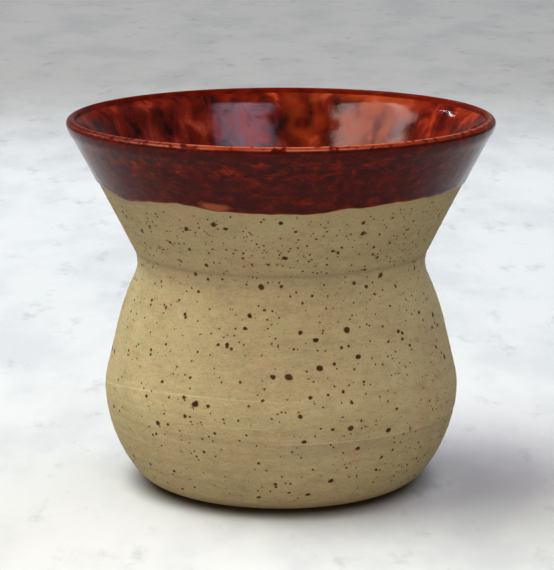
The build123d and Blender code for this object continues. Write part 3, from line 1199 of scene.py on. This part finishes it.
# %% Mottle group
mottle_group, given, result = new_group(
    "Glaze mottle", ["Islands", "Grain"], Around=120.0, Up=120.0, Seed=0.0)
tree = mottle_group
scaled = stretched(tree, given, "MULTIPLY_ADD", given["Seed"])
islands = noise_of(tree, "Islands", scaled, 1.0, detail=3.0, roughness=0.5, distortion=0.5)
put(tree, islands, result["Islands"])
put(tree, noise_of(tree, "Grain", scaled, 6.0, detail=3.0, roughness=0.65, distortion=0.3), result["Grain"])
print("mottle group has", len(tree.nodes), "nodes")

# %% Glaze maker
BLACK_BROWN = seen_colour(38, 9, 6)
PURPLE_BROWN = seen_colour(72, 17, 12)
DEEP_RED = seen_colour(92, 18, 6)
RED_BROWN = seen_colour(132, 30, 8)
ORANGE_RED = seen_colour(184, 58, 12)
GOLD_BROWN = seen_colour(206, 112, 26)
WAVE_HEIGHT = 0.00027


def make_glaze(title, around, up, seed, redness, gold, ground, grain, lean, spread):
    """A glaze with its own patch size, share of red, ground and grain.

    Lean is more red towards +X, and spread is how softly one colour passes into the next.
    """
    material, tree, shader, place = new_material(title)
    mottle = use_group(tree, mottle_group, "Mottle", Vector=place, Around=around, Up=up, Seed=seed)
    value = sum_of(tree, "Feathered islands", "MULTIPLY_ADD", mottle["Grain"], grain, mottle["Islands"])
    across = parts_of(tree, "Across the pot", place)["X"]
    # The glaze turns redder towards +X and darker towards -X.
    value = sum_of(tree, "Redder towards +X", "MULTIPLY_ADD", across, lean, value)
    middle = 0.5 + grain / 2 - redness
    colour = ground
    for name, tone, start, end in (
        ("Red islands", RED_BROWN, -0.08 * spread, 0.14 * spread),
        ("Orange hearts", ORANGE_RED, 0.07 * spread, 0.27 * spread),
        ("Golden runs", GOLD_BROWN, 0.24 - gold, 0.36 - gold),
        ("Deep pools", BLACK_BROWN, -0.04 * spread, -0.22 * spread),
    ):
        colour = tint(tree, name, colour, tone, value, middle + start, middle + end)
    blots = specks_of(tree, "Iron blots", place, 0.0065, 0.0008, 0.45, 0.3)
    colour = mix_of(tree, "Iron blots", product_of(tree, "Mostly", blots, 0.8), colour, BLACK_BROWN)
    waves = noise_of(tree, "Uneven melt", place, 85.0, detail=2.0)
    peel = noise_of(tree, "Orange peel", place, 700.0, detail=1.0)
    relief = sum_of(tree, "Melt relief", "MULTIPLY_ADD", peel, 0.05, waves)
    put(tree, bump_of(tree, "Wavy gloss", relief, 1.0, WAVE_HEIGHT), shader["Normal"])
    crystals = mask_of(tree, "Matt crystals", mottle["Islands"], 0.5, 0.75)
    put(tree, sum_of(tree, "Glossy", "MULTIPLY_ADD", crystals, 0.18, 0.10), shader["Roughness"])
    shader["IOR"].default_value = 1.52
    shader["Coat Roughness"].default_value = 0.06
    print(title, "has", len(tree.nodes), "nodes")
    return material, tree, shader, place, colour


# %% Lining glaze, also on the ribs
lining_glaze, tree, lining_shader, place, colour = make_glaze(
    "red_brown_glaze_lining", around=175.0, up=105.0, seed=3.0, redness=0.01, gold=-0.06, ground=DEEP_RED,
    grain=0.12, lean=0.5, spread=0.95)
run_breaks = noise_of(tree, "Breaks in the run", place, 170.0, detail=1.0)
run_breaks = mask_of(tree, "Ragged run", run_breaks, 0.3, 0.6)
thin_run = stored_value(tree, "Thin run down the wall", "thin_run")
thin_run = product_of(tree, "Broken run", thin_run, run_breaks, 0.85)
put(tree, mix_of(tree, "Orange run", thin_run, colour, seen_colour(172, 64, 14)), lining_shader["Base Color"])
lining_shader["Specular IOR Level"].default_value = 0.8

# %% Band glaze, with its thin places, painted shade under the lip and painted highlight lines
band_glaze, tree, band_shader, place, colour = make_glaze(
    "red_brown_glaze_band", around=290.0, up=560.0, seed=7.0, redness=-0.01, gold=-0.3, ground=PURPLE_BROWN,
    grain=0.6, lean=0.0, spread=1.0)
colour = mix_of(tree, "Veiled", 0.48, colour, PURPLE_BROWN)
height = parts_of(tree, "Height on the band", place)["Z"]
# Painted shade: from 95 to 97 mm upwards the band is darkened, over the undercut and the lip; the crest
# colours are laid over it afterwards.
colour = tint(tree, "Painted shade under the lip", colour, PURPLE_BROWN, height, 0.0952, 0.0972, 0.6)
colour = tint(tree, "Darker middle", colour, PURPLE_BROWN, height, 0.0925, 0.0895, 0.4)

crest, painted_highlight_lines, hairline, patch, inner_lip = [
    stored_value(tree, name, name) for name in ("crest", "painted_highlight_lines", "hairline", "patch", "inner_lip")
]
runs = noise_of(tree, "Runs off the lip", place, 170.0)
inside_colour = tint(tree, "Like the lining", DEEP_RED, RED_BROWN, runs, 0.35, 0.7)
colour = mix_of(tree, "Inner side of the lip", inner_lip, colour, inside_colour)
ragged = noise_of(tree, "Ragged breaks", place, 520.0)
crest_break = product_of(tree, "Broken crest", crest, mask_of(tree, "Most of it", ragged, 0.3, 0.5), 0.68)
colour = mix_of(tree, "Orange crest", crest_break, colour, ORANGE_RED)
most = mask_of(tree, "Most of them", ragged, 0.36, 0.5)
# Painted highlight: the two pale salmon lines along the lip's round.
painted_highlight_lines = product_of(tree, "Broken lines", painted_highlight_lines, most, 0.75)
colour = mix_of(tree, "Painted highlight lines", painted_highlight_lines, colour, seen_colour(222, 140, 110))
colour = mix_of(tree, "Orange hairline", hairline, colour, seen_colour(172, 70, 22))
patch_breaks = mask_of(tree, "Breaks", ragged, 0.65, 0.35)
patch = sum_of(tree, "Ragged patch", "MULTIPLY_ADD", patch_breaks, -0.12, patch)
colour = tint(tree, "Bare patch", colour, seen_colour(160, 84, 46), patch, 0.05, 0.65)
put(tree, colour, band_shader["Base Color"])
band_gloss = band_shader["Roughness"].links[0].from_socket
put(tree, sum_of(tree, "Matt edge", "MULTIPLY_ADD", hairline, 0.5, band_gloss), band_shader["Roughness"])
band_shader["Specular IOR Level"].default_value = 0.08
put(tree, product_of(tree, "Glossy crest", crest, 0.1), band_shader["Coat Weight"])

# %% [markdown]
# ## Pieces take their finish and their place in the frame
# Each finished piece stands for one measured node, so that node isn't shown twice. The specks belong to
# the clay and stand for nothing. All of them ride on the one body that the pot is.

# %% Finish and place
FINISHES = [
    (thrown_stand, stoneware, "belly_stand", "speckled_stoneware"),
    (thrown_cone, stoneware, "filter_cone", "speckled_stoneware"),
    (joint_coil, stoneware, "waist_coil", "speckled_stoneware"),
    (iron_specks, stoneware, None, "speckled_stoneware"),
    (paper_ribs, lining_glaze, "filter_ribs", "red_brown_glaze"),
    (poured_lining, lining_glaze, "glaze_lining", "red_brown_glaze"),
    (dipped_band, band_glaze, "glaze_rim_band", "red_brown_glaze"),
]
for piece, finish, node, slot in FINISHES:
    piece.data.materials.clear()
    piece.data.materials.append(finish)
    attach(piece, "root")
    if node:
        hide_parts(node)
    print(piece.name, "wears", finish.name)

# %% [markdown]
# ## Table and background
# The pot stands on a pale board that runs far back. The board is nearly white at the front and turns to a
# soft grey behind the pot. That grey is painted shade in its colour, standing in for light that falls off
# further back. Close round the foot its colour is darkened as a painted contact shadow. Faint clouds keep
# it from looking like paper.

# %% Table
deselect()
bpy.ops.mesh.primitive_plane_add(size=8.0)
table = bpy.context.object
table.name = "pale_table"
edit_all()
bpy.ops.mesh.subdivide(number_cuts=20)
leave_edit()

board, tree, board_shader, place = new_material("pale_board")
depth = parts_of(tree, "Place", place)["Y"]
squeeze = fill(tree, add(tree, "ShaderNodeMapping", "Long streaks", place), Scale=(1.0, 0.45, 1.0))[0]
smoke = noise_of(tree, "Faint clouds", squeeze, 26.0, detail=4.0, roughness=0.6)
smudge = noise_of(tree, "Small smudges", squeeze, 75.0, detail=5.0, roughness=0.65)
board_colour = seen_colour(233, 233, 232)
# The first two rows are painted shade: the board darkens with distance behind the pot, as light falls off.
for title, tone, value, start, end, strength, blend in (
    ("Painted shade fading back", seen_colour(219, 221, 222), depth, -0.06, 0.22, 1.0, "MIX"),
    ("Painted shade far back", seen_colour(169, 167, 165), depth, 0.45, 0.85, 1.0, "MIX"),
    ("Clouded", seen_colour(236, 237, 240), smoke, 0.42, 0.66, 0.75, "MULTIPLY"),
    ("Smudged", seen_colour(205, 206, 208), smudge, 0.56, 0.72, 0.5, "MULTIPLY"),
):
    board_colour = tint(tree, title, board_colour, tone, value, start, end, strength, blend)
# Painted shadow: the board's colour is darkened where the pot stands close over it, as a contact shadow.
hidden = add(tree, "ShaderNodeAmbientOcclusion", "Close under the pot", samples=8)
hidden = fill(tree, hidden, Distance=0.012)["AO"]
board_colour = tint(tree, "Painted shadow at the foot", seen_colour(92, 82, 62), board_colour, hidden, 0.10, 0.62)
seen = add(tree, "ShaderNodeLightPath", "How the board is seen").outputs
seen_board = sum_of(tree, "Seen or mirrored", "MAXIMUM", seen["Is Camera Ray"], seen["Is Glossy Ray"])
seen_board = sum_of(tree, "Or through glass", "MAXIMUM", seen_board, seen["Is Transmission Ray"])
board_colour = mix_of(tree, "Gives back less light", seen_board, seen_colour(150, 150, 150), board_colour)
put(tree, board_colour, board_shader["Base Color"])
board_shader["Roughness"].default_value = 0.7
board_shader["Specular IOR Level"].default_value = 0.2
table.data.materials.append(board)
print("table is", round(table.dimensions.x, 1), "m wide")

# %% [markdown]
# ## Light
# Soft daylight comes mostly from high at the left, over and behind the pot, so the front of the foot
# stands in its own shadow. A window at the left and a cooler one high at the front right draw the two
# broad reflections inside the glazed cone. Weak panels in front and at the right only fill, so gloss
# doesn't show them.

# %% Lights
POT_MIDDLE = Vector((0, 0, 0.06))
PANEL_DISTANCE = 3.5
PANELS = [      # azimuth from the front towards +X, elevation, width, height, brightness, colour
    ("high_left", -93, 63, 2.6, 2.6, 4.35, (0.91, 1.015, 0.93)),
    ("warm_window", -76, 44, 2.8, 1.9, 2.4, (1.0, 0.93, 0.85)),
    ("cool_window", 31, 54, 2.3, 1.6, 2.05, (0.72, 0.74, 1.0)),
    ("sky_behind_left", -125, 45, 3.0, 2.0, 2.4, (0.82, 0.78, 1.0)),
    ("ceiling", 0, 89, 3.0, 3.0, 0.95, (1.0, 0.78, 0.5)),
    ("glint_strip", -136.5, 30, 0.05, 0.5, 26.0, (1.0, 0.97, 0.95)),
    ("front_fill", -8, 4, 3.2, 0.4, 10.6, (1.0, 0.90, 0.90)),
    ("right_fill", 90, 40, 3.0, 2.0, 1.2, (1.0, 0.92, 0.94)),
    ("sky_behind_right", 135, 40, 3.0, 2.0, 1.7, (0.55, 0.74, 1.0)),
]
MIRRORED = ("warm_window", "cool_window", "glint_strip")
panels = {}
for name, azimuth, elevation, wide, high, glow, colour in PANELS:
    around = radians(azimuth)
    lifted = radians(elevation)
    direction = Vector((sin(around) * cos(lifted), -cos(around) * cos(lifted), sin(lifted)))
    light = bpy.data.lights.new(name, "AREA")
    light.shape = "RECTANGLE"
    light.size = wide
    light.size_y = high
    light.energy = glow * pi * wide * high
    light.color = colour
    panel = bpy.data.objects.new(name, light)
    panel.location = POT_MIDDLE + direction * PANEL_DISTANCE
    panel.rotation_euler = (-direction).to_track_quat("-Z", "Y").to_euler()
    panel.visible_glossy = name in MIRRORED
    bpy.context.collection.objects.link(panel)
    panels[name] = panel
    print(name, "at", [round(value, 2) for value in panel.location])


# %% Curtained windows
def veil(panel, edge, leaves, leaf_size, dim_middle=0.0):
    """Fades a panel out towards its edges, as a curtained window, and lets leaves outside break its light."""
    panel.data.use_nodes = True
    tree = panel.data.node_tree
    on_panel = add(tree, "ShaderNodeNewGeometry", "Place on the panel").outputs["Parametric"]
    across = parts_of(tree, "Across and up", on_panel)
    share = 1.0
    for axis in ("X", "Y"):
        off_middle = sum_of(tree, "Off the middle", "SUBTRACT", across[axis], 0.5)
        off_middle = sum_of(tree, "Either way", "ABSOLUTE", off_middle)
        share = product_of(tree, "Soft edge", share, mask_of(tree, "Fade", off_middle, 0.5, 0.5 - edge))
        if axis == "X":
            middle = mask_of(tree, "Middle", off_middle, 0.32, 0.12)
            middle = sum_of(tree, "Part", "MULTIPLY_ADD", middle, -dim_middle, 1.0)
            share = product_of(tree, "Dimmer middle", share, middle)
    shaded = mask_of(tree, "Leaves", noise_of(tree, "Leaves outside", on_panel, leaf_size), 0.5, 0.62)
    shaded = sum_of(tree, "Part", "MULTIPLY_ADD", shaded, -leaves, 1.0)
    put(tree, product_of(tree, "Broken light", share, shaded), tree.nodes["Emission"].inputs["Strength"])
    arrange(tree)


veil(panels["warm_window"], edge=0.10, leaves=0.3, leaf_size=4.0, dim_middle=0.5)
veil(panels["cool_window"], edge=0.3, leaves=0.75, leaf_size=5.0)
print("two windows veiled")

# %% [markdown]
# The room itself is dim, and a little paler near the horizon, which is what glazed edges show at a slant.

# %% Room
HORIZON = (0.18, 0.175, 0.175, 1.0)
OVERHEAD = (0.03, 0.03, 0.032, 1.0)
world = bpy.data.worlds.new("dim room")
bpy.context.scene.world = world
world.use_nodes = True
tree = world.node_tree
look = add(tree, "ShaderNodeTexCoord", "Direction").outputs["Generated"]
lifted = parts_of(tree, "Height of the direction", look)["Z"]
room = tint(tree, "Pale to dim", HORIZON, OVERHEAD, lifted, 0.02, 0.42)
put(tree, room, tree.nodes["Background"].inputs["Color"])
arrange(tree)
for finish in (stoneware, lining_glaze, band_glaze, board):
    arrange(finish.node_tree)
for group in (speck_group, lines_group, score_group, mottle_group):
    arrange(group)
print("room fades from its horizon to a dim ceiling")

# %% [markdown]
# ## Camera
# A long lens from a little above the rim, about 0.7 m away. The view is Standard, so colours stay as
# written.

# %% Camera
CAMERA_DISTANCE = 0.700
CAMERA_HEIGHT = 0.20126
LOOKING_DOWN = 11.929
TURNED = 0.085                  # degrees
lens = bpy.data.cameras.new("camera")
lens.sensor_width = 36.0
lens.lens = 166.3
camera = bpy.data.objects.new("camera", lens)
camera.location = (0, -CAMERA_DISTANCE, CAMERA_HEIGHT)
camera.rotation_euler = (radians(90 - LOOKING_DOWN), 0, radians(TURNED))
bpy.context.collection.objects.link(camera)
bpy.context.scene.camera = camera
bpy.context.scene.view_settings.view_transform = "Standard"
print("camera stands", round(camera.location.length, 3), "m from the foot's centre")
